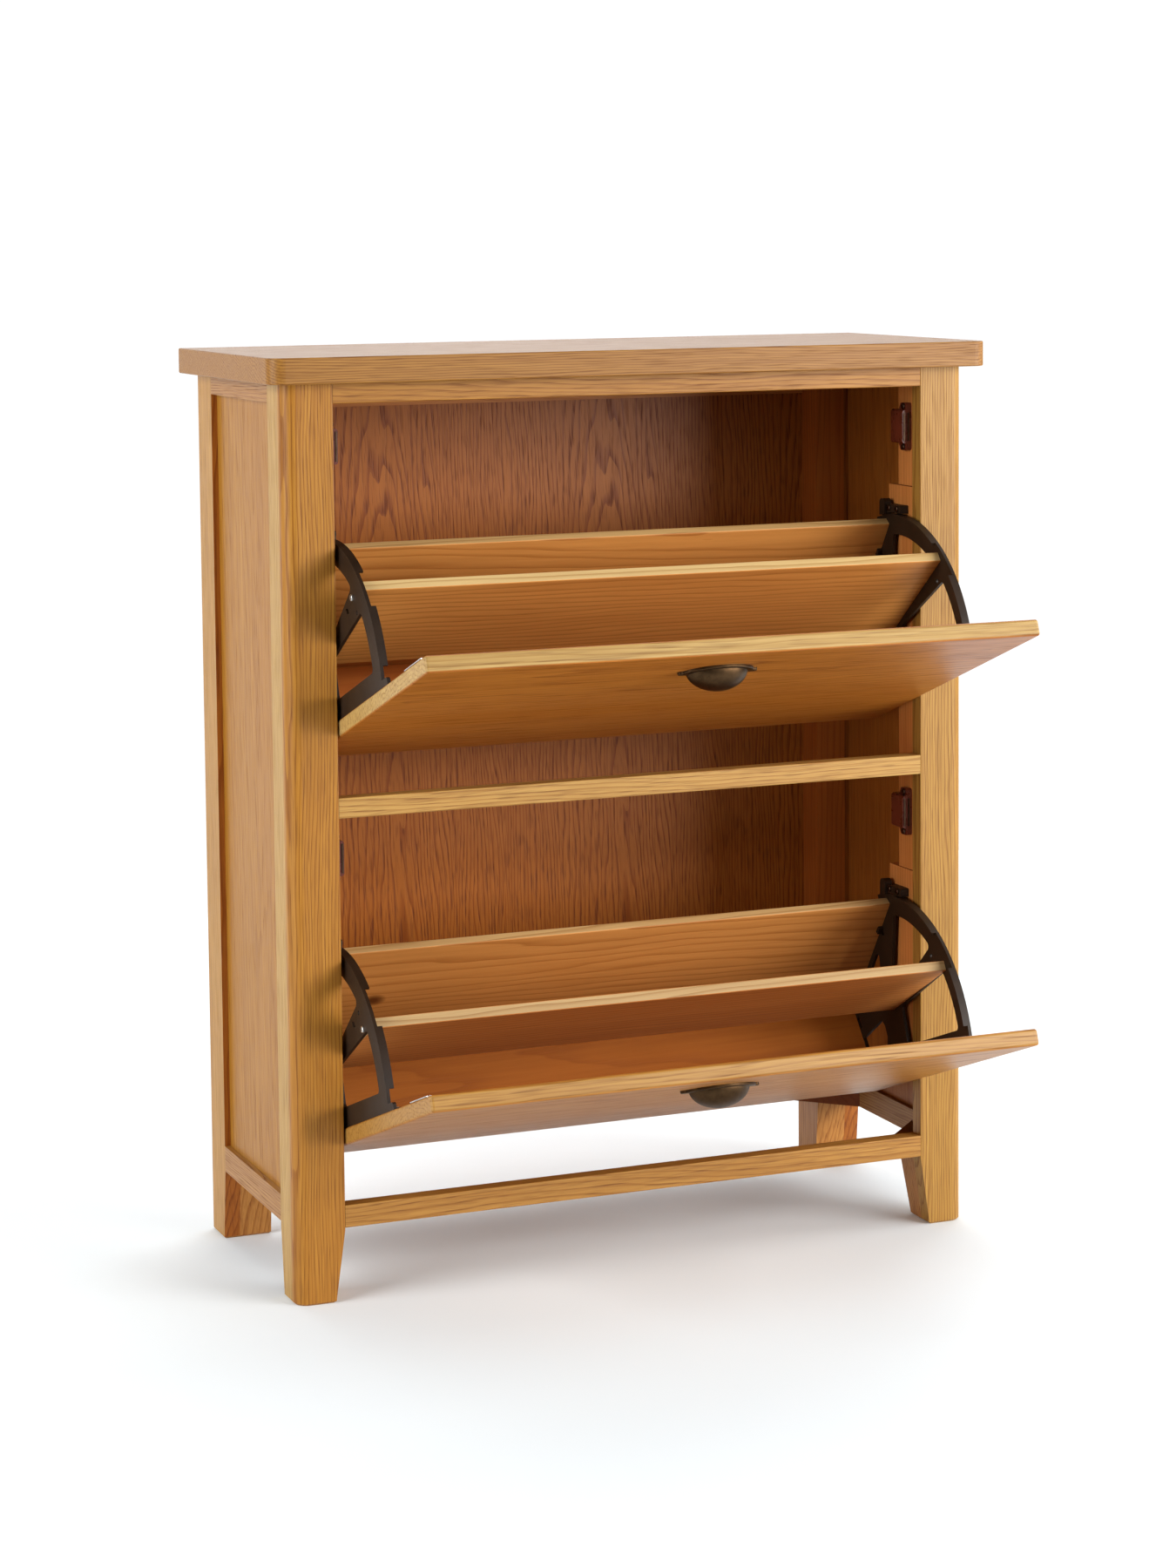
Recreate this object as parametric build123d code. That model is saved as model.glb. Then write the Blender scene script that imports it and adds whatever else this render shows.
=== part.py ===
from build123d import *
import math
import os

os.makedirs("parts", exist_ok=True)

# Carcass sizes, millimetres
opening_width = 653.5
opening_height = 395
leg_width = 52
leg_depth = 52
stile_thickness = 18
frame_depth = 304
foot_height = 76
bottom_rail_height = 23
middle_rail_height = 20.5
top_rail_height = 20.5
leg_corner_radius = 14
edge_ease = 1
cut_past = 1

# Side frames and back
side_thickness = 17
side_bottom_rail_height = 27.5
panel_recess = 6.5
panel_thickness = 5
groove_depth = 6
groove_clearance = 0.15
back_rail_thickness = 18
back_top_rail_height = 40
back_panel_inset = 11
back_panel_thickness = 5
tenon_length = 16
tenon_shoulder = 4
tenon_thickness = 8
foot_taper_inner = 11
foot_taper_front = 9
foot_taper_back = 8
foot_ease = 2
back_corner_radius = 3

# Top board
top_thickness = 26.5
top_overhang_side = 18.5
top_overhang_front = 21
top_overhang_back = 4.5
top_corner_radius = 16
top_edge_radius = 1.5

# Inside battens, hardware boards and corner blocks
batten_depth = 32
board_depth = 54
board_gap = 1
board_below_pivot = 28
board_above_clip = 20.5
corner_block_leg = 70
corner_block_height = 15

# Tilting flaps
flap_thickness = 17
flap_side_gap = 2
flap_top_gap = 2
flap_bottom_gap = 11
flap_edge_radius = 3
pivot_depth = 37.5
pivot_below_flap_top = 304.5
open_angle = 70

# Swing brackets, sizes measured from the pivot with the flap closed
bracket_gap = 4.25
bracket_plate = 3.5
arc_outer = 168
arc_width = 22
rim_width = 5
rim_thickness = 2.5
window_radius = 5
foot_width = 20.5
foot_above_arc = 13
toe_above_arc = 16
toe_width = 7.5
toe_chamfer = 2
foot_flange = 14
foot_flange_end_gap = 3
foot_flange_above_floor = 6
flange_screw_heights = (-40, 60, 160)
lug_above_arc = 15
lug_width = 12
lug_radius = 5
lug_root = 2
hub_corner = (42, 24)
front_spoke_top = (66.5, 144.8)
rear_spoke_low = (60, 28)
rear_spoke_top = (101, 130)
strut_top = (142, 40.5)
strut_low = (89, 17)
strut_corner = (70, 8)
arm_rear = ((66, -17), (60, -66))
low_window_corners = ((35, -29), (28, -23), (15.6, -21), (7.5, -24), (5, -30))
low_window_end = 21.7
low_window_sill = 2
rear_window_span = (59, 126)
slot_near = 32
slot_far = 47
slot_height = 7
slot_lean = 2
diamond_half_width = 3
diamond_half_height = 6
diamond_places = ((75, 92), (125.7, 6))
strip_front = 7
plate_edge = 9.5
plate_rear_start = 25
tab_length = 8
tab_thickness = 4
tab_from_top = 34
rim_spans = ((20, 51), (67.5, 89.5))
pivot_radius = 4.5
pivot_clearance = 0.08
pivot_flange_radius = 13
pivot_flange = 2.5
pivot_spigot = 12

# Shoe boards carried by the brackets
divider_thickness = 11
divider_height = 138
divider_foot = (41.5, 4)
upper_lean = 18.4
lower_lean = 9.4
back_board_thickness = 10
back_board_top = (153, 35.5)
back_board_lean = 36
bottom_board_thickness = 10
bottom_board_front = -67.4
bottom_board_slope = 18.9
board_edge_radius = 1.5
board_end_past = 2
divider_low_screw = 14
back_board_screws = (36, 120)
bottom_board_screws = (4, 50)
screw_row_upper = (84, 111.5)
screw_row_lower = (66.5, 120)

# Stop clips, catches and strike plates
clip_front = -10.5
clip_rear = 20.5
clip_above_arc = 9.5
clip_side = 20
clip_corner = 2
clip_clearance = 1.2
clip_thickness = 10
clip_screws = (-3, 15)
clip_screw_drop = 4
stop_gap = 0.4
catch_below_flap_top = 42
catch_height = 51
catch_body_height = 36
catch_protrusion = 11
catch_body_depth = 27
catch_corner = 3
ear_thickness = 6
ear_depth = 14
ear_slant = 4
pole_thickness = 1.6
pole_length = 30
pole_depth = 16
pole_proud = 1.1
pole_offsets = (4.2, 9.2)
strike_length = 54
strike_width = 12
strike_thickness = 1
strike_edge = 1.5
strike_corner = 3
catch_gap = 0.4

# Cup pulls
pull_width = 85
pull_bowl_width = 65
pull_depth = 20.5
pull_bowl_height = 25
pull_flange_height = 28.5
pull_flange = 3
pull_bead_radius = 1.4
pull_wall = 2
pull_base = 231
pull_ear = 3.5

# Screws
screw_head_radius = 3.5
screw_head_height = 2
screw_radius = 1.75
screw_length = 16
screw_slot_length = 4
screw_slot_width = 1
screw_slot_depth = 0.8
screw_clearance = 0.05
screw_hole_rise = 5
screw_seat_gap = 0.2
spare_hole_clearance = 0.6

# Positions that follow from the sizes
half_opening = opening_width / 2
half_outer = half_opening + leg_width
side_inner = half_outer - side_thickness
front = -frame_depth / 2
back = frame_depth / 2
stile_back = front + stile_thickness
bottom_rail_top = foot_height + bottom_rail_height
side_rail_top = foot_height + side_bottom_rail_height
middle_rail_bottom = bottom_rail_top + opening_height
middle_rail_top = middle_rail_bottom + middle_rail_height
top_rail_bottom = middle_rail_top + opening_height
carcass_top = top_rail_bottom + top_rail_height
front_leg_back = front + leg_depth
back_leg_front = back - leg_depth
back_rail_front = back - back_rail_thickness
flap_half = half_opening - flap_side_gap
flap_outer = -pivot_depth
flap_inner = flap_outer + flap_thickness
flap_top = pivot_below_flap_top
flap_bottom = flap_top - (opening_height - flap_top_gap - flap_bottom_gap)
pivot_y = front + pivot_depth
lower_pivot_z = middle_rail_bottom - flap_top_gap - pivot_below_flap_top
upper_pivot_z = top_rail_bottom - flap_top_gap - pivot_below_flap_top
plate_outer = half_opening - bracket_gap
plate_inner = plate_outer - bracket_plate
arc_inner = arc_outer - arc_width
foot_top = arc_outer + foot_above_arc
toe_top = arc_outer + toe_above_arc
lug_top = arc_outer + lug_above_arc
clip_top = arc_outer + clip_above_arc
board_above_pivot = clip_top + board_above_clip
sides = {"left": -1, "right": 1}


def block(x0, x1, y0, y1, z0, z1):
    """Rectangular block between two corners."""
    middle = Pos((x0 + x1) / 2, (y0 + y1) / 2, (z0 + z1) / 2)
    return middle * Box(abs(x1 - x0), abs(y1 - y0), abs(z1 - z0))


def slab(sketch, x0, x1):
    """Solid with a (y, z) outline between two x values."""
    low = min(x0, x1)
    return extrude(Plane.YZ.offset(low) * sketch, amount=abs(x1 - x0), dir=(1, 0, 0))


def ring_part(inner, outer, start, end):
    """Part of a flat ring about the pivot between two angles."""
    reach = 2 * outer
    steps = [math.radians(start + (end - start) * i / 3) for i in range(4)]
    wedge = [(0, 0)] + [(reach * math.cos(a), reach * math.sin(a)) for a in steps]
    return (Circle(outer) - Circle(inner)) & Polygon(*wedge, align=None)


def cylinder_x(radius, x0, x1, y, z):
    """Round bar along x."""
    return Pos((x0 + x1) / 2, y, z) * Rot(0, 90, 0) * Cylinder(radius, abs(x1 - x0))


def save(name, *solids):
    shape = solids[0] if len(solids) == 1 else Compound(list(solids))
    export_step(shape, f"parts/{name}.step")


def screw(place):
    """Pan-head screw, head on the local +Z side of its seat, shank along -Z."""
    head = Cylinder(screw_head_radius, screw_head_height, align=(Align.CENTER, Align.CENTER, Align.MIN))
    head = fillet(head.edges().group_by(Axis.Z)[-1], screw_head_height * 0.6)
    bar = Box(screw_slot_length, screw_slot_width, 2 * screw_slot_depth)
    slot = Pos(0, 0, screw_head_height) * (bar + Rot(0, 0, 90) * bar)
    shank = Cylinder(screw_radius, screw_length, align=(Align.CENTER, Align.CENTER, Align.MAX))
    return place * (head - slot + shank)


def screw_hole(place):
    """Room for the shank of a screw at the same place."""
    reach = screw_hole_rise + screw_length + screw_clearance
    hole = Cylinder(screw_radius + screw_clearance, reach, align=(Align.CENTER, Align.CENTER, Align.MAX))
    return place * Pos(0, 0, screw_hole_rise) * hole


def outward(edges, sign):
    """Edges in order from the middle of the cabinet to one side."""
    return edges.sort_by(lambda edge: sign * edge.center().X)


def ease_foot(piece, *joints):
    """Chamfer the sole of a leg piece, apart from the edges on its glue joints."""
    edges = piece.edges().group_by(Axis.Z)[0]
    for axis, value in joints:
        edges = [edge for edge in edges if abs(getattr(edge.center(), axis) - value) > foot_ease / 2]
    return chamfer(edges, foot_ease)


def side_place(sign, x, y, z):
    """Place on a face that looks toward the middle of the cabinet."""
    return Pos(sign * x, y, z) * Rot(0, -90 * sign, 0)


def outward_place(sign, x, y, z):
    """Place on a face that looks away from the middle of the cabinet."""
    return Pos(sign * x, y, z) * Rot(0, 90 * sign, 0)


# Top board
top = block(-half_outer - top_overhang_side, half_outer + top_overhang_side,
            front - top_overhang_front, back + top_overhang_back, carcass_top, carcass_top + top_thickness)
upright = top.edges().filter_by(Axis.Z)
top = fillet(upright.group_by(Axis.Y)[0], top_corner_radius)
top = fillet(top.edges().group_by(Axis.Z)[0] + top.edges().group_by(Axis.Z)[-1], top_edge_radius)
save("top_board", top)

# Front rails with tenons in the front stiles
rails = {
    "bottom_rail": (foot_height, bottom_rail_top),
    "middle_rail": (middle_rail_bottom, middle_rail_top),
    "top_rail": (top_rail_bottom, carcass_top),
}
tenon_front = front + (stile_thickness - tenon_thickness) / 2
tenon_reach = half_opening + tenon_length
for name, (low, high) in rails.items():
    rail = block(-half_opening, half_opening, front, stile_back, low, high)
    rail = fillet(rail.edges().filter_by(Axis.X), edge_ease)
    rail += block(-tenon_reach, tenon_reach, tenon_front, tenon_front + tenon_thickness,
                  low + tenon_shoulder, high - tenon_shoulder)
    save(name, rail)

# Back rails and back panel
back_groove_front = back - back_panel_inset - back_panel_thickness
back_bottom_rail = block(-side_inner, side_inner, back_rail_front, back, foot_height, side_rail_top)
back_top_rail = block(-half_opening, half_opening, back_rail_front, back,
                      carcass_top - back_top_rail_height, carcass_top)
panel_half = half_opening + groove_depth
panel_low = side_rail_top - groove_depth
panel_high = carcass_top - back_top_rail_height + groove_depth
back_panel = block(-panel_half, panel_half, back_groove_front, back_groove_front + back_panel_thickness,
                   panel_low, panel_high)
back_groove = block(-panel_half - groove_clearance, panel_half + groove_clearance,
                    back_groove_front - groove_clearance,
                    back_groove_front + back_panel_thickness + groove_clearance,
                    panel_low, panel_high + groove_clearance)
save("back_panel", back_panel)
save("back_bottom_rail", back_bottom_rail - back_groove)
save("back_top_rail", back_top_rail - back_groove)

# Legs, side frames and side panels
panel_outer = half_outer - panel_recess
panel_inner = panel_outer - panel_thickness
side_top_rail_low = top_rail_bottom


def taper(edge, cut):
    """Outline cut from the lower end of a leg, from nothing at the top of the foot."""
    return Polygon((edge, foot_height), (edge, -cut_past), (edge + cut, -cut_past), align=None)


taper_reach = half_outer + cut_past
front_taper = slab(taper(front_leg_back, -foot_taper_front), -taper_reach, taper_reach)
back_taper = slab(taper(back_leg_front, foot_taper_back), -taper_reach, taper_reach)
taper_depth = leg_depth + 2 * cut_past
right_taper = extrude(Plane.XZ * taper(half_opening, foot_taper_inner), amount=taper_depth, dir=(0, -1, 0))
right_taper = Pos(0, front_leg_back + cut_past, 0) * right_taper
tapers = {"right": right_taper, "left": mirror(right_taper, about=Plane.YZ)}
for side, sign in sides.items():
    stile = block(sign * half_opening, sign * half_outer, front, stile_back, 0, carcass_top)
    stile = fillet(outward(stile.edges().filter_by(Axis.Z).group_by(Axis.Y)[0], sign)[-1], leg_corner_radius)
    stile = fillet(outward(stile.edges().filter_by(Axis.Z).group_by(Axis.Y)[0], sign)[0], edge_ease)
    for low, high in rails.values():
        stile -= block(sign * (half_opening - cut_past), sign * (tenon_reach + groove_clearance), tenon_front,
                       tenon_front + tenon_thickness, low + tenon_shoulder, high - tenon_shoulder)
    save(f"front_stile_{side}", ease_foot(stile - tapers[side], ("Y", stile_back)))

    panel = block(sign * panel_inner, sign * panel_outer,
                  front_leg_back - groove_depth, back_leg_front + groove_depth,
                  side_rail_top - groove_depth, side_top_rail_low + groove_depth)
    groove = block(sign * (panel_inner - groove_clearance), sign * (panel_outer + groove_clearance),
                   front_leg_back - groove_depth - groove_clearance,
                   back_leg_front + groove_depth + groove_clearance,
                   side_rail_top - groove_depth, side_top_rail_low + groove_depth + groove_clearance)
    save(f"side_panel_{side}", panel)

    low_rail = block(sign * side_inner, sign * half_outer, front_leg_back, back_leg_front,
                     foot_height, side_rail_top)
    high_rail = block(sign * side_inner, sign * half_outer, front_leg_back, back_leg_front,
                      side_top_rail_low, carcass_top)
    tenons = [block(sign * panel_inner, sign * panel_outer,
                    front_leg_back - tenon_length, back_leg_front + tenon_length, low, high)
              for low, high in ((foot_height + tenon_shoulder, side_rail_top - groove_depth),
                                (side_top_rail_low + groove_depth + groove_clearance,
                                 carcass_top - tenon_shoulder))]
    save(f"side_bottom_rail_{side}", (low_rail - groove) + tenons[0])
    save(f"side_top_rail_{side}", (high_rail - groove) + tenons[1])

    cuts = groove + tenons[0] + tenons[1]
    front_side_stile = block(sign * side_inner, sign * half_outer, stile_back, front_leg_back, 0, carcass_top)
    front_side_stile = front_side_stile - cuts - front_taper
    front_side_stile = ease_foot(front_side_stile, ("Y", stile_back), ("X", sign * side_inner))
    save(f"front_side_stile_{side}", front_side_stile)
    back_side_stile = block(sign * side_inner, sign * half_outer, back_leg_front, back, 0, carcass_top)
    rear_edges = outward(back_side_stile.edges().filter_by(Axis.Z).group_by(Axis.Y)[-1], sign)
    back_side_stile = fillet(rear_edges[-1], back_corner_radius) - cuts - back_taper
    save(f"back_side_stile_{side}", ease_foot(back_side_stile, ("X", sign * side_inner)))

    front_foot = block(sign * half_opening, sign * side_inner, stile_back, front_leg_back, 0, foot_height)
    front_foot = front_foot - tapers[side] - front_taper
    save(f"front_foot_block_{side}", ease_foot(front_foot, ("Y", stile_back), ("X", sign * side_inner)))
    back_foot = block(sign * half_opening, sign * side_inner, back_leg_front, back, 0, foot_height)
    save(f"back_foot_block_{side}", ease_foot(back_foot - back_taper, ("X", sign * side_inner)))

    post = block(sign * half_opening, sign * side_inner, back_leg_front, back,
                 foot_height + corner_block_height, carcass_top)
    save(f"back_post_{side}", post - back_bottom_rail - back_groove)

# Triangular corner blocks on the feet, screwed to the rails
corner_blocks = []
for sign in sides.values():
    for wall, step in ((stile_back, 1), (back_rail_front, -1)):
        corner = (sign * side_inner, wall)
        along_side = (sign * side_inner, wall + step * corner_block_leg)
        along_rail = (sign * (side_inner - corner_block_leg), wall)
        outline = Polygon(corner, along_side, along_rail, align=None)
        outline = Pos(0, 0, foot_height) * outline
        corner_blocks.append(extrude(outline, amount=corner_block_height, dir=(0, 0, 1)))
save("corner_blocks", *corner_blocks)

# Battens behind the front stiles and boards that carry the swing hardware
carcass_screws = []
catch_poles = []
pivot_pins = []
pivots = {"upper": upper_pivot_z, "lower": lower_pivot_z}
batten_spans = {
    "upper": (upper_pivot_z + board_above_pivot + board_gap, carcass_top),
    "lower": (lower_pivot_z + board_above_pivot + board_gap, upper_pivot_z - board_below_pivot - board_gap),
}
for level, pivot_z in pivots.items():
    catches = []
    clips = []
    catch_z = pivot_z + pivot_below_flap_top - catch_below_flap_top
    catch_front = pivot_y + flap_inner + strike_thickness + catch_gap + pole_proud
    for side, sign in sides.items():
        # Magnetic catch with two steel poles
        low, high = batten_spans[level]
        batten = block(sign * half_opening, sign * side_inner,
                       stile_back, stile_back + batten_depth, low, high)
        half_catch = catch_height / 2
        half_body = catch_body_height / 2
        body = block(sign * (half_opening - catch_protrusion), sign * half_opening,
                     catch_front, catch_front + catch_body_depth, catch_z - half_body, catch_z + half_body)
        body = fillet(outward(body.edges().filter_by(Axis.Y), sign)[:2], catch_corner)
        ear_rear = catch_front + ear_depth
        ear_root = ear_rear + ear_slant
        ears_outline = Polygon((catch_front, -half_catch), (ear_rear, -half_catch), (ear_root, -half_body),
                               (ear_root, half_body), (ear_rear, half_catch), (catch_front, half_catch),
                               align=None)
        ears_outline = Pos(0, catch_z) * fillet(ears_outline.vertices(), catch_corner)
        catch = body + slab(ears_outline, sign * (half_opening - ear_thickness), sign * half_opening)
        for offset in pole_offsets:
            centre = half_opening - offset
            pole = block(sign * (centre - pole_thickness / 2), sign * (centre + pole_thickness / 2),
                         catch_front - pole_proud, catch_front + pole_depth,
                         catch_z - pole_length / 2, catch_z + pole_length / 2)
            catch -= pole
            catch_poles.append(pole)
        for end in (-1, 1):
            seat = side_place(sign, half_opening - ear_thickness, catch_front + ear_depth / 2,
                              catch_z + end * (half_body + screw_head_radius + screw_seat_gap))
            catch -= screw_hole(seat)
            batten -= screw_hole(seat)
            carcass_screws.append(screw(seat))
        catches.append(catch)
        save(f"catch_batten_{level}_{side}", batten)

        # Stop clip above the arc of the bracket
        hardware_board = block(sign * half_opening, sign * side_inner, stile_back, stile_back + board_depth,
                               pivot_z - board_below_pivot, pivot_z + board_above_pivot)
        under_arc = arc_outer + clip_clearance
        clip_middle = ((clip_front + clip_rear) / 2, clip_top - clip_side / 2)
        clip_outline = Pos(*clip_middle) * RectangleRounded(clip_rear - clip_front, clip_side, clip_corner)
        clip_outline -= Circle(under_arc)
        clip = slab(clip_outline, sign * (half_opening - clip_thickness), sign * half_opening)
        clip = Pos(0, pivot_y, pivot_z) * clip
        for along in clip_screws:
            seat = side_place(sign, half_opening - clip_thickness, pivot_y + along,
                              pivot_z + clip_top - clip_screw_drop)
            clip -= screw_hole(seat)
            carcass_screws.append(screw(seat))
            hardware_board -= screw_hole(seat)
        clips.append(clip)

        # Fixed pivot pin with a round flange and a spigot let into the board
        pin = cylinder_x(pivot_flange_radius, sign * (half_opening - pivot_flange), sign * half_opening,
                         pivot_y, pivot_z)
        pin += cylinder_x(pivot_radius, sign * (plate_inner - cut_past), sign * (half_opening + pivot_spigot),
                          pivot_y, pivot_z)
        spigot = cylinder_x(pivot_radius + screw_clearance, sign * half_opening,
                            sign * (half_opening + pivot_spigot + screw_clearance), pivot_y, pivot_z)
        pivot_pins.append(pin)
        save(f"hardware_board_{level}_{side}", hardware_board - spigot)
    save(f"magnetic_catches_{level}", *catches)
    save(f"stop_clips_{level}", *clips)
save("catch_poles", *catch_poles)
save("carcass_screws", *carcass_screws)
save("pivot_pins", *pivot_pins)

# Swing bracket of the right side, flap closed, pivot at the origin
lean = math.radians(back_board_lean)
board_down = (-math.sin(lean), -math.cos(lean))
board_back = (math.cos(lean), -math.sin(lean))
slope = math.tan(math.radians(bottom_board_slope))


def on_back_board(along, behind):
    """Point at a distance down the back board and behind its front face."""
    return (back_board_top[0] + along * board_down[0] + behind * board_back[0],
            back_board_top[1] + along * board_down[1] + behind * board_back[1])


def on_bottom_board(depth, below):
    """Point of the bottom board at a depth, measured down from its upper face."""
    return (depth, bottom_board_front - slope * (depth - flap_inner) - below)


def past_arc(low, top):
    """Point beyond the arc on the line of a spoke from its low end through its top."""
    reach = arc_outer / math.dist(low, top)
    return (low[0] + reach * (top[0] - low[0]), low[1] + reach * (top[1] - low[1]))


# The upper face of the bottom board meets the front face of the back board here
meeting_run = (back_board_top[1] - bottom_board_front + slope * (back_board_top[0] - flap_inner))
meeting_rate = math.cos(lean) + slope * math.sin(lean)
meeting = meeting_run / meeting_rate
under = bottom_board_thickness / math.cos(math.radians(bottom_board_slope))
board_end = meeting + bottom_board_thickness + board_end_past
plate_end = board_end - cut_past
outline = Polygon((flap_inner, on_bottom_board(flap_inner, plate_edge)[1]), (flap_inner, 2 * arc_outer),
                  (2 * arc_outer, 2 * arc_outer), (2 * arc_outer, tab_length),
                  on_back_board(plate_rear_start, plate_edge), on_back_board(plate_end, plate_edge),
                  on_back_board(plate_end, 0), on_bottom_board(on_back_board(plate_end, 0)[0], plate_edge),
                  align=None)
plate = outline & Circle(arc_outer)
foot_inner = flap_inner + foot_width
toe_edge = flap_inner + toe_width
plate += Polygon((flap_inner, arc_inner), (flap_inner, toe_top), (toe_edge - toe_chamfer, toe_top),
                 (toe_edge, toe_top - toe_chamfer), (toe_edge, arc_inner), align=None)
front_window = Polygon((foot_inner, hub_corner[1]), hub_corner, past_arc(hub_corner, front_spoke_top),
                       (foot_inner, 2 * arc_outer), align=None)
front_window = front_window & Circle(arc_inner)
middle_window = Polygon(rear_spoke_low, past_arc(rear_spoke_low, rear_spoke_top),
                        past_arc(strut_low, strut_top), strut_low, strut_corner, align=None)
middle_window = middle_window & Circle(arc_inner)
rear_window = Polygon(on_back_board(rear_window_span[0], -strip_front), *arm_rear,
                      on_back_board(rear_window_span[1], -strip_front), align=None)
low_window = Polygon(*low_window_corners, on_bottom_board(low_window_corners[-1][0], -low_window_sill),
                     on_bottom_board(low_window_end, -low_window_sill), align=None)
slot = Polygon(on_bottom_board(slot_far, -slot_height), on_bottom_board(slot_near + slot_lean, -slot_height),
               on_bottom_board(slot_near, 0), on_bottom_board(slot_far - slot_lean, 0), align=None)
for window in (front_window, middle_window, rear_window):
    plate -= fillet(window.vertices(), window_radius)
plate -= low_window
plate -= slot
for centre in (screw_row_upper, screw_row_lower):
    plate -= Pos(*centre) * Circle(screw_radius + spare_hole_clearance)
diamond = Polygon((-diamond_half_width, 0), (0, diamond_half_height), (diamond_half_width, 0),
                  (0, -diamond_half_height), align=None)
for centre in diamond_places:
    plate -= Pos(*centre) * Rot(0, 0, back_board_lean) * diamond
plate -= Circle(pivot_radius + pivot_clearance)

# Stop lug at the end of the arc, drawn with the flap open and turned back
lug_front = clip_rear + stop_gap
lug_low = arc_inner + lug_root
lug_sketch = Polygon((lug_front, lug_low), (lug_front, lug_top), (lug_front + lug_width, lug_top),
                     (lug_front + lug_width, lug_low), align=None)
lug_sketch = fillet(lug_sketch.vertices().group_by(Axis.Y)[-1], lug_radius)
lug_sketch = Rot(0, 0, -open_angle) * lug_sketch

bracket_right = slab(plate + lug_sketch, plate_inner, plate_outer)
bracket_right += slab(lug_sketch - Circle(arc_outer), plate_inner - rim_width, plate_outer)
for start, end in rim_spans:
    rim = ring_part(arc_outer - rim_thickness, arc_outer, start, end)
    bracket_right += slab(rim, plate_inner - rim_width, plate_inner)
foot_low = on_bottom_board(flap_inner, -foot_flange_above_floor)[1]
bracket_right += block(plate_inner - foot_flange, plate_inner, flap_inner, flap_inner + rim_thickness,
                       foot_low, foot_top - foot_flange_end_gap)
tab_end = tab_from_top + tab_length
tab = Polygon(on_back_board(tab_from_top, -tab_thickness), on_back_board(tab_from_top, 0),
              on_back_board(tab_end, 0), on_back_board(tab_end, -tab_thickness), align=None)
under_low = under + tab_thickness
under_tab = Polygon(on_bottom_board(tab_from_top, under), on_bottom_board(tab_from_top, under_low),
                    on_bottom_board(tab_end, under_low), on_bottom_board(tab_end, under), align=None)
under_web = Polygon(on_bottom_board(tab_from_top, 0), on_bottom_board(tab_from_top, under),
                    on_bottom_board(tab_end, under), on_bottom_board(tab_end, 0), align=None)
bracket_right += slab(tab, plate_inner - rim_width, plate_outer)
bracket_right += slab(under_tab + under_web, plate_inner, plate_outer)
bracket_right += slab(under_tab, plate_inner - rim_width, plate_outer)

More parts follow.
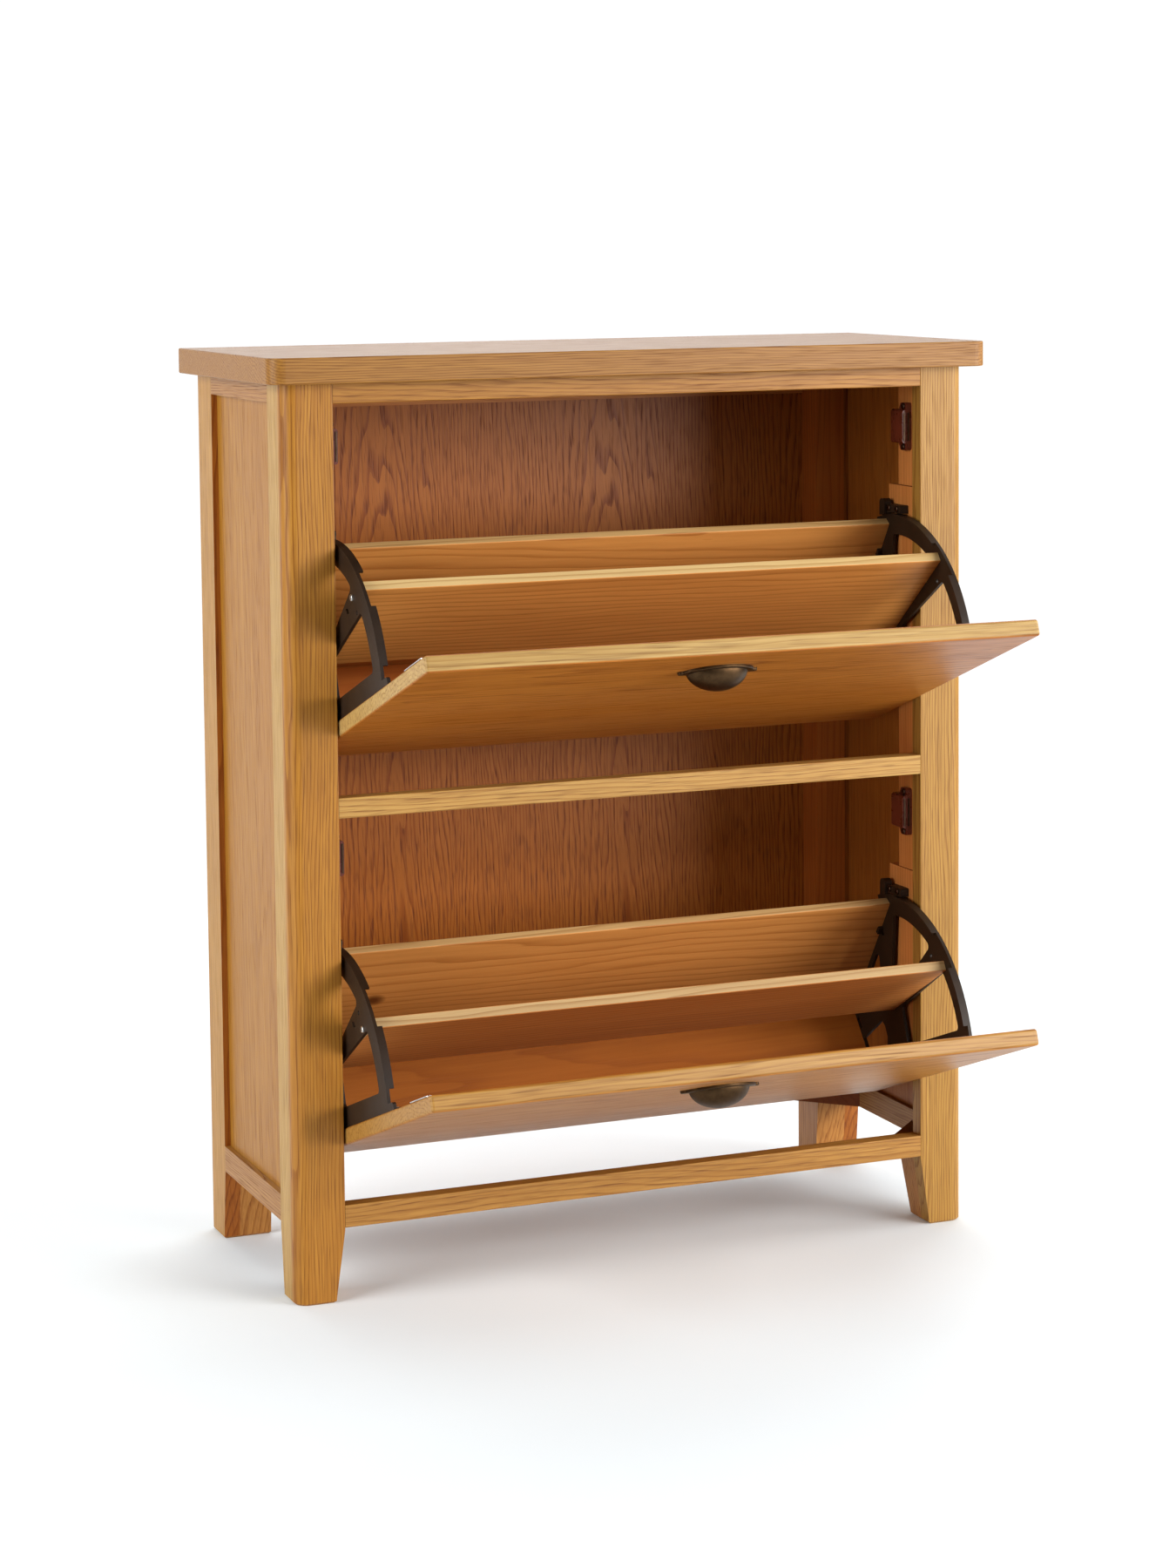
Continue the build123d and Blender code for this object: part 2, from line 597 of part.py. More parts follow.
# Flaps, each with its shoe boards, brackets, cup pull and strike plates
leans = {"upper": upper_lean, "lower": lower_lean}
divider_rows = {"upper": screw_row_upper, "lower": screw_row_lower}
for level, pivot_z in pivots.items():
    hung = Pos(0, pivot_y, pivot_z) * Rot(open_angle, 0, 0)
    tilt = math.radians(leans[level])
    up = (math.sin(tilt), math.cos(tilt))
    behind = (math.cos(tilt), -math.sin(tilt))

    def on_divider(along, depth):
        """Point at a height up the front divider and a depth behind its front face."""
        return (divider_foot[0] + along * up[0] + depth * behind[0],
                divider_foot[1] + along * up[1] + depth * behind[1])

    flap = block(-flap_half, flap_half, flap_outer, flap_inner, flap_bottom, flap_top)
    flap = fillet(flap.edges(), flap_edge_radius)
    divider = slab(Polygon(on_divider(0, 0), on_divider(divider_height, 0),
                           on_divider(divider_height, divider_thickness), on_divider(0, divider_thickness),
                           align=None), -plate_inner, plate_inner)
    divider = fillet(divider.edges().filter_by(Axis.X), board_edge_radius)
    back_board = slab(Polygon(on_back_board(0, 0), on_back_board(board_end, 0),
                              on_back_board(board_end, back_board_thickness),
                              on_back_board(0, back_board_thickness), align=None), -plate_inner, plate_inner)
    back_board = fillet(back_board.edges().filter_by(Axis.X), board_edge_radius)
    rear_low = meeting + under / meeting_rate
    bottom_board = slab(Polygon(on_bottom_board(flap_inner, 0), on_back_board(meeting, 0),
                                on_back_board(rear_low, 0), on_bottom_board(flap_inner, under), align=None),
                        -plate_inner, plate_inner)

    flap_screws = []
    brackets = {"right": bracket_right, "left": mirror(bracket_right, about=Plane.YZ)}
    row = divider_rows[level]
    half_divider = divider_thickness / 2
    half_back = back_board_thickness / 2
    board_screws = {
        "divider": [row, on_divider(divider_low_screw, half_divider)],
        "back": [on_back_board(along, half_back) for along in back_board_screws],
        "bottom": [on_bottom_board(depth, under / 2) for depth in bottom_board_screws],
    }
    for side, sign in sides.items():
        bracket = brackets[side]
        for board, points in board_screws.items():
            for point in points:
                seat = outward_place(sign, plate_outer, *point)
                hole = screw_hole(seat)
                bracket -= hole
                if board == "divider":
                    divider -= hole
                if board == "back":
                    back_board -= hole
                if board == "bottom":
                    bottom_board -= hole
                flap_screws.append(screw(seat))
        for height in flange_screw_heights:
            seat = Pos(sign * (plate_inner - foot_flange / 2), flap_inner + rim_thickness, height)
            seat = seat * Rot(-90, 0, 0)
            bracket -= screw_hole(seat)
            flap -= screw_hole(seat)
            flap_screws.append(screw(seat))
        save(f"swing_bracket_{level}_{side}", hung * bracket)

    strikes = []
    strike_middle = flap_top - catch_below_flap_top
    for sign in sides.values():
        edge = flap_half - strike_edge
        strike = block(sign * (edge - strike_width), sign * edge, flap_inner, flap_inner + strike_thickness,
                       strike_middle - strike_length / 2, strike_middle + strike_length / 2)
        strike = fillet(strike.edges().filter_by(Axis.Y), strike_corner)
        strikes.append(strike)
    save(f"strike_plates_{level}", *[hung * strike for strike in strikes])

    # Cup pull, a quarter of an egg-shaped bowl on a flange, open at the bottom
    half_bowl = pull_bowl_width / 2
    outer_size = (half_bowl, pull_depth, pull_bowl_height)
    inner_size = tuple(size - pull_wall for size in outer_size)
    quarter = block(-half_bowl, half_bowl, -pull_depth, 0, 0, pull_bowl_height)
    bowl = scale(Sphere(1), by=outer_size) & quarter
    hollow = scale(Sphere(1), by=inner_size)
    upper_half = Pos(0, pull_flange_height / 2) * Rectangle(pull_width, pull_flange_height)
    flange_face = Ellipse(pull_width / 2 - pull_ear, pull_flange_height) & upper_half
    flange_face += Pos(0, pull_ear) * RectangleRounded(pull_width, 2 * pull_ear, pull_ear * 0.95)
    flange = extrude(Plane.XZ * flange_face, amount=pull_flange, dir=(0, -1, 0))
    flange = fillet(flange.edges().group_by(Axis.Y)[0], pull_bead_radius)
    pull = Pos(0, flap_outer, pull_base) * (bowl + flange - hollow)
    save(f"cup_pull_{level}", hung * pull)
    save(f"flap_{level}", hung * flap)
    save(f"front_divider_{level}", hung * divider)
    save(f"back_divider_{level}", hung * back_board)
    save(f"pocket_floor_{level}", hung * bottom_board)
    save(f"flap_screws_{level}", *[hung * one for one in flap_screws])
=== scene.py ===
import math

import bpy
from mathutils import Matrix, Vector


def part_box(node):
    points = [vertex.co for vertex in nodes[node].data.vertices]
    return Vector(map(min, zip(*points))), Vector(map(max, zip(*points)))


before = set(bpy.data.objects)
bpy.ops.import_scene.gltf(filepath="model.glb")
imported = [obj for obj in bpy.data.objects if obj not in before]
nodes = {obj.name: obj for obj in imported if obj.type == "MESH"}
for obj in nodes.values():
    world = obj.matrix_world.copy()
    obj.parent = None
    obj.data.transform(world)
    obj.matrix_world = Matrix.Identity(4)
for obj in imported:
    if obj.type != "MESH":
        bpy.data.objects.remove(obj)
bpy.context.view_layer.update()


# Top board: a solid oak board glued up from planed strips, with crisp eased edges
# and rounded front corners, screwed down on the rails. Satin lacquer over honey oak.
def new_finish(name):
    """New material, with its node tree, its shader and the place on the cabinet in metres."""
    material = bpy.data.materials.new(name)
    material.use_nodes = True
    tree = material.node_tree
    place = tree.nodes.new("ShaderNodeTexCoord").outputs["Object"]
    return material, tree, tree.nodes["Principled BSDF"], place


def finish_in(material, *names):
    """Give pieces of the cabinet this material and no other."""
    for node_name in names:
        mesh = nodes[node_name].data
        mesh.materials.clear()
        mesh.materials.append(material)


def put(tree, socket, value):
    """Give an input socket a fixed value, or a link from another node."""
    if isinstance(value, bpy.types.NodeSocket):
        tree.links.new(value, socket)
    else:
        socket.default_value = value


def add(tree, kind, *values, **named):
    """Add a shader node; values fill its inputs in order, named ones the input of that name."""
    node = tree.nodes.new("ShaderNode" + kind)
    for index, value in enumerate(values):
        put(tree, node.inputs[index], value)
    for label, value in named.items():
        put(tree, node.inputs[label.replace("_", " ")], value)
    return node


def reckon(tree, operation, *values):
    """Result of a sum on numbers."""
    node = add(tree, "Math", *values)
    node.operation = operation
    return node.outputs["Value"]


def reckon_vector(tree, operation, *values, result="Vector"):
    """Result of a sum on vectors: a vector, or a number with result="Value"."""
    node = add(tree, "VectorMath", *values)
    node.operation = operation
    return node.outputs[result]


def moved(tree, vector, place=(0, 0, 0), turn=(0, 0, 0), size=(1, 1, 1)):
    """Vector scaled, turned by degrees and shifted."""
    turn = tuple(math.radians(angle) for angle in turn)
    return add(tree, "Mapping", vector, place, turn, size).outputs["Vector"]


def noise(tree, vector, detail, roughness=0.55, result="Fac"):
    """Soft noise with cells of about one unit: a grey value, or a colour with result="Color"."""
    node = add(tree, "TexNoise", Vector=vector, Scale=1.0, Detail=detail, Roughness=roughness)
    return node.outputs[result]


def ramp(tree, value, *stops):
    """Grey value that follows stops of place and brightness."""
    node = add(tree, "ValToRGB", value)
    elements = node.color_ramp.elements
    while len(elements) < len(stops):
        elements.new(0.5)
    for element, (place, grey) in zip(elements, stops):
        element.position = place
        element.color = (grey, grey, grey, 1)
    return node.outputs["Color"]


def blend(tree, amount, first, second, kind="MIX"):
    """Colour between two colours, or the first colour with the second worked into it."""
    node = tree.nodes.new("ShaderNodeMix")
    node.data_type = "RGBA"
    node.blend_type = kind
    put(tree, node.inputs["Factor"], amount)
    put(tree, node.inputs["A"], first)
    put(tree, node.inputs["B"], second)
    return node.outputs["Result"]


def stained(tree, colour, mask, depth, stain):
    """Colour with a stain let in where the mask is white, to the given depth."""
    return blend(tree, reckon(tree, "MULTIPLY", mask, depth), colour, stain)


def tinted(tone, shares):
    """Opaque colour with a share of each channel of a tone."""
    return tuple(colour * share for colour, share in zip(tone, shares)) + (1,)


def place_in_log(tree, place, board, grain, pith, tilt, seed, leaf, leaf_shift):
    """Place in the log that a board was sawn from; the pith runs along Z, beside the board."""
    low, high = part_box(board)
    middle = tuple((Vector(low) + Vector(high)) / 2)
    turn_to_grain = {"X": (0, -90, 0), "Y": (90, 0, 0), "Z": (0, 0, 0)}[grain]
    along = reckon_vector(tree, "SUBTRACT", place, middle)
    along = moved(tree, along, turn=turn_to_grain)
    if leaf:
        # A veneer repeats leaf by leaf across the board, and is whole the other two ways
        whole = 9
        along = moved(tree, along, place=(leaf_shift, 0, 0))
        along = reckon_vector(tree, "WRAP", along, (leaf / 2, whole, whole), (-leaf / 2, -whole, -whole))
    side_tilt = 0.6 * tilt * math.cos(5 * seed)
    return moved(tree, along, place=(*pith, 0), turn=(tilt, side_tilt, 0))


def growth_rings(tree, log, seed, ring_gap, rings, wander):
    """Darkness of the growth rings, which wander slowly along the grain."""
    # Cells of noise per metre, and the gap between the rings of a wave node at a scale of one
    wander_cells = (16, 16, 2.2)
    wave_gap = 0.314
    slow = moved(tree, log, place=(seed, 2 * seed, 3 * seed), size=wander_cells)
    drift = noise(tree, slow, 3.0, 0.5, result="Color")
    drift = reckon_vector(tree, "SUBTRACT", drift, (0.5, 0.5, 0.5))
    reach = 5 * wander * ring_gap
    drift = reckon_vector(tree, "MULTIPLY", drift, (reach, reach, 0))
    bent = reckon_vector(tree, "ADD", log, drift)
    wave = add(tree, "TexWave", Vector=bent, Scale=wave_gap / ring_gap, Distortion=0.0)
    wave.wave_type = "RINGS"
    wave.rings_direction = "Z"
    wave.wave_profile = "SAW"
    return ramp(tree, wave.outputs["Fac"], *rings)


def knot_mask(tree, place, centre, radius):
    """White in the eye of a knot, fading to black at its rim; a knot is longer along X."""
    reach = (1.6 * radius, radius, radius)
    out = reckon_vector(tree, "DIVIDE", reckon_vector(tree, "SUBTRACT", place, centre), reach)
    away = reckon_vector(tree, "LENGTH", out, result="Value")
    return ramp(tree, away, (0.25, 1.0), (0.55, 0.75), (1.0, 0.0))


def edge_mask(tree, board, edge_way):
    """White on the faces that look edge_way, or else on all the narrow edges of a board."""
    broad_face = max(nodes[board].data.polygons, key=lambda polygon: polygon.area)
    looks = edge_way or tuple(broad_face.normal)
    normal = tree.nodes.new("ShaderNodeTexCoord").outputs["Normal"]
    facing = reckon_vector(tree, "DOT_PRODUCT", normal, looks, result="Value")
    if edge_way:
        return ramp(tree, facing, (0.6, 0.0), (0.9, 1.0))
    return ramp(tree, reckon(tree, "ABSOLUTE", facing), (0.35, 1.0), (0.75, 0.0))


def timber(names, grain, tone, seed, pith, ring_gap, rings, ring_depth, wander=1.0, tilt=1.0,
           pore_depth=0.65, pore_width=0.0015, pore_length=0.040, streak_depth=0.5, leaf=0.0,
           leaf_shift=0.0, knot=None, edge=None, edge_way=None, gloss=0.40, sheen=0.25):
    """Lacquered boards sawn from one log, whose pith lies beside the middle of the first board.

    Lengths are in metres and tilts in degrees. Each depth says how strongly that mark shows, and
    edge gives the shares of the colour that are left on the edges.
    """
    material, tree, shader, place = new_finish(names[0])
    log = place_in_log(tree, place, names[0], grain, pith, tilt, seed, leaf, leaf_shift)
    ring = growth_rings(tree, log, seed, ring_gap, rings, wander)

    # Pores, streaks and clouds of tone, in cells per metre that are drawn out along the grain
    pore_cells = (1 / pore_width, 1 / pore_width, 1 / pore_length)
    streak_cells = (150, 150, 5)
    cloud_cells = (14, 14, 1.6)
    fine = moved(tree, log, place=(0, 0, 11 * seed), size=pore_cells)
    pores = ramp(tree, noise(tree, fine, 1.0), (0.50, 0.0), (0.66, 1.0))
    pores = reckon(tree, "MULTIPLY", pores, reckon(tree, "MULTIPLY_ADD", ring, 0.6, 0.4))
    long = moved(tree, log, place=(0, 0, 7 * seed), size=streak_cells)
    streaks = ramp(tree, noise(tree, long, 4.0, 0.65), (0.35, 0.0), (0.68, 1.0))
    wide = moved(tree, log, place=(3 * seed, 0, seed), size=cloud_cells)
    clouds = ramp(tree, noise(tree, wide, 3.0), (0.3, 0.0), (0.7, 1.0))

    pale = tinted(tone, (1.20, 1.26, 1.38))
    cloudy = tinted(tone, (0.95, 0.86, 0.72))
    brown = tinted(tone, (0.63, 0.48, 0.34))
    deep = tinted(tone, (0.40, 0.27, 0.16))
    burnt = tinted(tone, (0.20, 0.12, 0.08))
    cloud_depth, knot_depth = 0.35, 0.95
    colour = stained(tree, pale, ring, ring_depth, brown)
    colour = stained(tree, colour, streaks, streak_depth, brown)
    colour = stained(tree, colour, clouds, cloud_depth, cloudy)
    colour = stained(tree, colour, pores, pore_depth, deep)
    if knot:
        colour = stained(tree, colour, knot_mask(tree, place, *knot), knot_depth, burnt)
    if edge:
        colour = blend(tree, edge_mask(tree, names[0], edge_way), colour, (*edge, 1), "MULTIPLY")
    put(tree, shader.inputs["Base Color"], colour)

    dull = add(tree, "MapRange", Value=pores, To_Min=gloss, To_Max=gloss + 0.15)
    put(tree, shader.inputs["Roughness"], dull.outputs["Result"])
    shader.inputs["Specular IOR Level"].default_value = sheen
    bump = add(tree, "Bump", Strength=0.3, Distance=0.0003, Height=pores)
    bump.invert = True
    put(tree, shader.inputs["Normal"], bump.outputs["Normal"])
    finish_in(material, *names)


oak_rings = ((0.0, 0.6), (0.06, 1.0), (0.2, 0.7), (0.4, 0.12), (1.0, 0.0))
timber(["top_board"], grain="X", tone=(0.287, 0.130, 0.0236), seed=1.0, pith=(0.35, 0.25),
       ring_gap=0.0031, rings=oak_rings, ring_depth=0.95, tilt=0.5, wander=1.9)

# Front stiles: the straight oak uprights of the face frame, with a well rounded
# outer corner and a taper at the foot, glued to the side frames behind them.
straight_oak = dict(ring_gap=0.0032, rings=oak_rings, ring_depth=0.95, wander=1.9)
timber(["front_stile_left"], grain="Z", tone=(0.359, 0.155, 0.0188), seed=2.0, pith=(0.60, 0.22),
       tilt=0.5, **straight_oak)
timber(["front_stile_right"], grain="Z", tone=(0.355, 0.183, 0.0338), seed=3.0, pith=(-0.60, 0.22),
       tilt=0.5, **straight_oak)

# Face frame rails: three narrow oak rails tenoned between the front stiles. The
# lines of the grain run out along the edges.
rail_tones = {
    "top_rail": (0.339, 0.148, 0.0217),
    "middle_rail": (0.416, 0.234, 0.0593),
    "bottom_rail": (0.357, 0.172, 0.0348),
}
for count, (rail, tone) in enumerate(rail_tones.items()):
    timber([rail], grain="X", tone=tone, seed=4.0 + count, pith=(0.10, 0.12), ring_gap=0.0035,
           rings=oak_rings, ring_depth=0.8, tilt=1.6, wander=1.6)

# Side frames: oak stiles tenoned to oak rails around a recessed panel, with the feet
# thickened by glued blocks of the same oak. The back stile's edge in the recess carries painted shade,
# darker and redder.
side_oak = dict(straight_oak, pith=(0.2, 0.5))
foot_oak = dict(straight_oak, pith=(0.2, 0.3), tone=(0.408, 0.175, 0.0366))
# Painted shade: the front-facing edge of the back stile, inside the panel recess, is tinted darker and
# redder.
painted_recess_shade = dict(edge=(0.80, 0.48, 0.30), edge_way=(0, -1, 0))
for count, side in enumerate(("left", "right")):
    timber([f"front_side_stile_{side}"], grain="Z", tone=(0.404, 0.241, 0.0602), seed=8.0 + count,
           **side_oak)
    timber([f"back_side_stile_{side}"], grain="Z", tone=(0.384, 0.191, 0.0300), seed=10.0 + count,
           **side_oak, **painted_recess_shade)
    timber([f"side_top_rail_{side}", f"side_bottom_rail_{side}"], grain="Y",
           tone=(0.318, 0.143, 0.0278), seed=12.0 + count, **side_oak)
    timber([f"front_foot_block_{side}"], grain="Z", seed=14.0 + count, **foot_oak)
    timber([f"back_foot_block_{side}"], grain="Z", seed=16.0 + count, **foot_oak)

# Side and back panels: thin boards faced with veneer and held in grooves of the frames
# all round. The back is in leaves with a tall arched figure.
# Painted shade: the face of each side panel that looks into the cabinet is tinted redder, the colour of
# its shaded inside.
for count, (side, inward) in enumerate((("left", 1), ("right", -1))):
    timber([f"side_panel_{side}"], grain="Z", tone=(0.313, 0.133, 0.0132), seed=18.0 + count,
           pith=(0.05, 0.03), ring_gap=0.009, rings=oak_rings, ring_depth=0.3, tilt=2.5, wander=1.6,
           pore_depth=0.4, edge=(1.15, 0.90, 1.17), edge_way=(inward, 0, 0))
timber(["back_panel"], grain="Z", tone=(0.355, 0.107, 0.0122), seed=20.0, pith=(0.0, -0.035),
       ring_gap=0.0042, rings=oak_rings, ring_depth=1.0, tilt=3.5, wander=2.3, pore_depth=0.9,
       pore_width=0.0018, streak_depth=0.3, leaf=0.266, leaf_shift=0.173, sheen=0.2)

# Inner carcass: softwood rails at the back, posts in the rear corners, blocks
# glued in the lower corners, and the battens and boards that carry the hardware.
pine = (0.520, 0.194, 0.0464)
pine_rings = ((0.0, 0.0), (0.6, 0.08), (0.87, 0.7), (0.96, 1.0), (1.0, 0.25))
plain_pine = dict(pith=(0.08, 0.12), ring_gap=0.006, rings=pine_rings, ring_depth=0.5, pore_depth=0.1,
                  streak_depth=0.35, sheen=0.15)
timber(["back_top_rail", "back_bottom_rail"], grain="X", tone=pine, seed=21.0, **plain_pine)
# Painted shade: the corner blocks get a near-black tone for the deep shade they sit in behind the bottom
# rails.
timber(["corner_blocks"], grain="X", tone=(0.140, 0.032, 0.0050), seed=20.5, **plain_pine)
timber(["back_post_right", "back_post_left"], grain="Z", tone=(0.435, 0.125, 0.0190), seed=22.0,
       **plain_pine)
for count, side in enumerate(("left", "right")):
    for step, level in enumerate(("upper", "lower")):
        corner = count + 2 * step
        timber([f"catch_batten_{level}_{side}"], grain="Z", tone=pine, seed=23.0 + corner,
               **plain_pine)
        timber([f"hardware_board_{level}_{side}"], grain="Z", tone=pine, seed=27.0 + corner,
               **plain_pine)

# Flaps: veneered oak boards with rounded edges, hung on the swing brackets. The edges are paler,
# partly in their grain and partly by a painted highlight, and the upper flap carries painted shade. The
# grain runs across the cabinet.
# Painted highlight and shade: the flap edges are paler partly in their own grain and partly as a painted
# highlight; the upper flap's tone is redder as painted shade.
flap_edges_and_highlights = {"upper": (1.10, 2.05, 5.4), "lower": (0.90, 1.16, 1.71)}
flap_tones_and_shade = {"upper": (0.380, 0.129, 0.0158), "lower": (0.385, 0.151, 0.0216)}
for count, (level, tone) in enumerate(flap_tones_and_shade.items()):
    timber([f"flap_{level}"], grain="X", tone=tone, seed=31.0 + count, pith=(-0.10, 0.16),
           ring_gap=0.0045, rings=oak_rings, ring_depth=0.6, tilt=0.8, wander=1.6, pore_width=0.0025,
           pore_length=0.06, edge=flap_edges_and_highlights[level], gloss=0.36)

# Shoe boards: pine dividers and the narrow floor of each pocket, screwed between the brackets,
# with pale edges that are partly painted highlight. One divider has a knot near its left end.
wide_pine = dict(ring_gap=0.0075, rings=pine_rings, ring_depth=0.75, tilt=0.9, wander=0.9,
                 pore_depth=0.08, streak_depth=0.3)
# Painted highlight: the pale edge tints of the dividers and pocket floors are partly the pine's own
# paler edges and partly a painted highlight on the top edges that face the light.
floor_pine = dict(wide_pine, ring_depth=0.4, pith=(0.12, 0.12), edge=(1.05, 1.55, 2.5))
front_edges_and_highlights = {"upper": (0.91, 1.48, 2.75), "lower": (0.79, 1.38, 2.45)}
back_edge_and_highlight = (0.91, 1.30, 2.15)
front_tones = {"upper": (0.559, 0.232, 0.0504), "lower": (0.519, 0.194, 0.0467)}
back_tones = {"upper": (0.520, 0.216, 0.0476), "lower": (0.491, 0.207, 0.0478)}
floor_tones = {"upper": (0.525, 0.138, 0.0215), "lower": (0.391, 0.116, 0.0158)}
knot_centre = (-0.2610, -0.0550, 0.2833)
knot_radius = 0.009
knots = {"upper": None, "lower": (knot_centre, knot_radius)}
for count, level in enumerate(("upper", "lower")):
    timber([f"front_divider_{level}"], grain="X", tone=front_tones[level], seed=34.0 + count,
           pith=(0.03, 0.07), edge=front_edges_and_highlights[level], **wide_pine)
    timber([f"back_divider_{level}"], grain="X", tone=back_tones[level], seed=36.0 + count,
           pith=(0.050, 0.110), edge=back_edge_and_highlight, knot=knots[level], **wide_pine)
    timber([f"pocket_floor_{level}"], grain="X", tone=floor_tones[level], seed=38.0 + count,
           **floor_pine)


# Swing brackets, stop clips and pivots: black moulded nylon with a fine satin
# grain, screwed to the boards of the carcass and to the flaps.
def moulded(name, colour, roughness, grain_size, grain_depth, sheen=0.25):
    """Moulded plastic with a fine surface grain, a little lighter and duller where it is rubbed."""
    material, tree, shader, place = new_finish(name)
    rub_cells = (38, 38, 38)
    speckle = noise(tree, moved(tree, place, size=(1 / grain_size,) * 3), 3.0)
    rub = noise(tree, moved(tree, place, size=rub_cells), 5.0)
    dark = tinted(colour, (0.75, 0.75, 0.75))
    light = tinted(colour, (1.4, 1.4, 1.4))
    rubbed = ramp(tree, rub, (0.3, 0.0), (0.75, 1.0))
    put(tree, shader.inputs["Base Color"], blend(tree, rubbed, dark, light))
    wear = add(tree, "MapRange", Value=rub, To_Min=roughness - 0.07, To_Max=roughness + 0.10)
    put(tree, shader.inputs["Roughness"], wear.outputs["Result"])
    shader.inputs["Specular IOR Level"].default_value = sheen
    bump = add(tree, "Bump", Strength=grain_depth, Distance=0.0002, Height=speckle)
    put(tree, shader.inputs["Normal"], bump.outputs["Normal"])
    return material


black_nylon = moulded("black_nylon", (0.019, 0.0090, 0.0036), roughness=0.48, grain_size=0.0007,
                      grain_depth=0.25)
for level in ("upper", "lower"):
    finish_in(black_nylon, f"swing_bracket_{level}_left", f"swing_bracket_{level}_right",
              f"stop_clips_{level}")
finish_in(black_nylon, "pivot_pins")

# Magnetic catches: glossy red-brown plastic boxes with two ears, screwed to the
# battens, each holding a magnet between two steel pole plates.
brown_plastic = moulded("brown_plastic", (0.105, 0.019, 0.0085), roughness=0.26, grain_size=0.004,
                        grain_depth=0.1, sheen=0.4)
finish_in(brown_plastic, "magnetic_catches_upper", "magnetic_catches_lower")


# Screws, pole plates and strike plates: zinc-plated steel on the flaps, browned
# steel on the catches and clips.
def metal(name, colour, roughness, stain, stain_amount):
    """Metal with a patina: dull in the stained patches, smoother where it is rubbed."""
    material, tree, shader, place = new_finish(name)
    patina_cells = (120, 120, 120)
    shader.inputs["Metallic"].default_value = 1.0
    patina = noise(tree, moved(tree, place, size=patina_cells), 6.0, 0.65)
    rubbed = ramp(tree, patina, (0.5 - 0.3 * stain_amount, 0.0), (0.62, 1.0))
    put(tree, shader.inputs["Base Color"], blend(tree, rubbed, (*stain, 1), (*colour, 1)))
    wear = add(tree, "MapRange", Value=patina, To_Min=roughness + 0.10, To_Max=roughness - 0.06)
    put(tree, shader.inputs["Roughness"], wear.outputs["Result"])
    bump = add(tree, "Bump", Strength=0.15, Distance=0.0001, Height=patina)
    put(tree, shader.inputs["Normal"], bump.outputs["Normal"])
    return material


zinc = metal("zinc", (0.66, 0.65, 0.62), roughness=0.30, stain=(0.48, 0.46, 0.43), stain_amount=0.6)
for level in ("upper", "lower"):
    finish_in(zinc, f"strike_plates_{level}", f"flap_screws_{level}")
browned_steel = metal("browned_steel", (0.090, 0.052, 0.034), roughness=0.36,
                      stain=(0.045, 0.024, 0.014), stain_amount=0.8)
finish_in(browned_steel, "catch_poles", "carcass_screws")

# Cup pulls: cast metal half bowls with a rounded flange, screwed to the flaps, in dark
# aged bronze with brown showing on the rubbed parts.
aged_bronze = metal("aged_bronze", (0.074, 0.041, 0.019), roughness=0.38, stain=(0.030, 0.016, 0.007),
                    stain_amount=1.0)
finish_in(aged_bronze, "cup_pull_upper", "cup_pull_lower")


# Studio: a plain white floor under the cabinet and a glowing white wall behind it,
# which lights the wood but is left out of the picture, so the back can be seen too.
def studio_sheet(name, profile, half_width, whiteness, glow):
    """A sheet of matt paper, as wide as given, along a profile of places in Y and Z."""
    corners = [(side * half_width, y, z) for y, z in profile for side in (-1, 1)]
    strips = [(2 * i, 2 * i + 1, 2 * i + 3, 2 * i + 2) for i in range(len(profile) - 1)]
    mesh = bpy.data.meshes.new(name)
    mesh.from_pydata(corners, [], strips)
    mesh.shade_smooth()
    sheet = bpy.data.objects.new(name, mesh)
    bpy.context.scene.collection.objects.link(sheet)
    paper = bpy.data.materials.new(name)
    paper.use_nodes = True
    shader = paper.node_tree.nodes["Principled BSDF"]
    shader.inputs["Base Color"].default_value = (*whiteness, 1)
    shader.inputs["Roughness"].default_value = 0.9
    shader.inputs["Specular IOR Level"].default_value = 0.0
    shader.inputs["Emission Color"].default_value = (1, 1, 1, 1)
    shader.inputs["Emission Strength"].default_value = glow
    mesh.materials.append(paper)
    return sheet


floor_front, floor_back = -2.3, 1.8
wall_radius, wall_height = 1.6, 7
bend = [math.radians(7.5 * step) for step in range(13)]
curve = [(floor_back + wall_radius * math.sin(a), wall_radius * (1 - math.cos(a))) for a in bend]
wall_top = (floor_back + wall_radius, wall_height)
studio_sheet("studio_floor", [(floor_front, 0), (floor_back, 0)], half_width=2.8,
             whiteness=(0.765, 0.812, 0.834), glow=0.05)
wall = studio_sheet("studio_wall", [*curve, wall_top], half_width=9.0, whiteness=(0.9, 0.9, 0.9),
                    glow=0.15)
wall.visible_camera = False


# Lights: a wide low soft box on the right in front as the key, soft boxes on both
# sides, one high behind and weaker ones overhead and in front. The white world behind
# it all is there for the camera alone, and lights nothing.
def soft_box(name, place, aim, width, height, power):
    """A rectangular area light, in metres and watts, turned towards a point."""
    lamp = bpy.data.lights.new(name, "AREA")
    lamp.shape = "RECTANGLE"
    lamp.size = width
    lamp.size_y = height
    lamp.energy = power
    box = bpy.data.objects.new(name, lamp)
    box.location = place
    box.rotation_mode = "QUATERNION"
    box.rotation_quaternion = (Vector(aim) - Vector(place)).to_track_quat("-Z", "Y")
    bpy.context.scene.collection.objects.link(box)


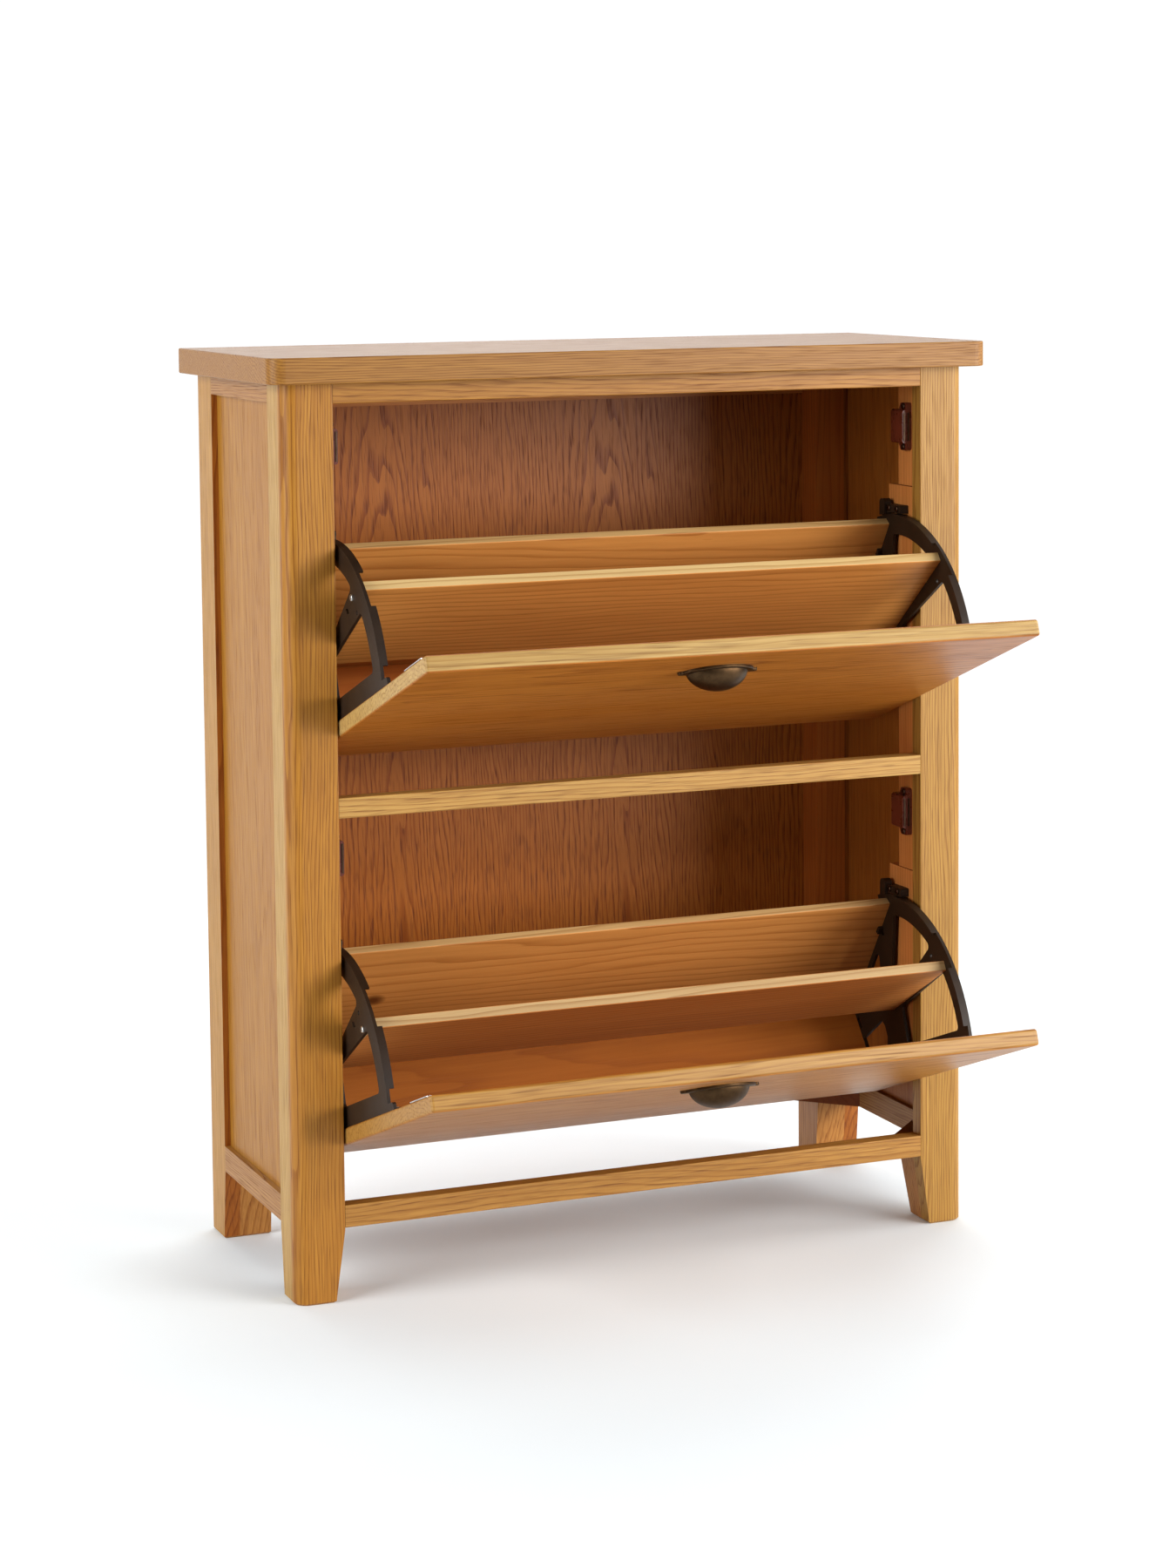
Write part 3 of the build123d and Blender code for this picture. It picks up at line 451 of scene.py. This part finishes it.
half_way_up = (0, 0, 0.5)
soft_box("key", (2.8, -3.1, 1.3), half_way_up, width=2.8, height=2.0, power=234)
soft_box("right", (3.6, -0.6, 1.8), half_way_up, width=2.0, height=2.0, power=73)
soft_box("left", (-3.4, -0.8, 1.6), half_way_up, width=2.4, height=2.4, power=133)
soft_box("over", (0, -0.3, 3.6), (0, 0, 0), width=3.5, height=3.5, power=13)
soft_box("behind", (1.0, 2.2, 3.4), (0, 0, 0.4), width=4.0, height=3.0, power=102)
soft_box("front", (0.2, -4.6, 1.6), half_way_up, width=3.0, height=2.0, power=25)
world = bpy.data.worlds.new("studio")
world.use_nodes = True
background = world.node_tree.nodes["Background"]
background.inputs["Color"].default_value = (1, 1, 1, 1)
background.inputs["Strength"].default_value = 1.05
bpy.context.scene.world = world
world.cycles_visibility.diffuse = False
world.cycles_visibility.glossy = False
bpy.context.scene.view_settings.view_transform = "Standard"

# Camera: where the photograph was taken from, in front on the left and a little above
# the top board, with the lens shifted down so that the upright lines stay nearly upright.
photo_width, photo_height = 1350, 1800
lens_centre = (676.32, 600)
focal_length = 3979.81
film_width = 36
camera_place = (-1.39116, -3.41932, 1.08980)
yaw, pitch, roll = 0.38848, -0.08753, -0.00910
camera_data = bpy.data.cameras.new("camera")
camera = bpy.data.objects.new("camera", camera_data)
bpy.context.scene.collection.objects.link(camera)
level_way = math.cos(pitch)
forward = Vector((math.sin(yaw) * level_way, math.cos(yaw) * level_way, math.sin(pitch)))
across = forward.cross(Vector((0, 0, 1))).normalized()
above = across.cross(forward)
right = across * math.cos(roll) + above * math.sin(roll)
upward = above * math.cos(roll) - across * math.sin(roll)
turned = Matrix((right, upward, -forward)).transposed()
camera.matrix_world = Matrix.Translation(camera_place) @ turned.to_4x4()
camera_data.sensor_fit = "HORIZONTAL"
camera_data.sensor_width = film_width
camera_data.lens = film_width * focal_length / photo_width
camera_data.shift_x = (photo_width / 2 - lens_centre[0]) / photo_width
camera_data.shift_y = (lens_centre[1] - photo_height / 2) / photo_width
camera_data.clip_end = 100
bpy.context.scene.camera = camera
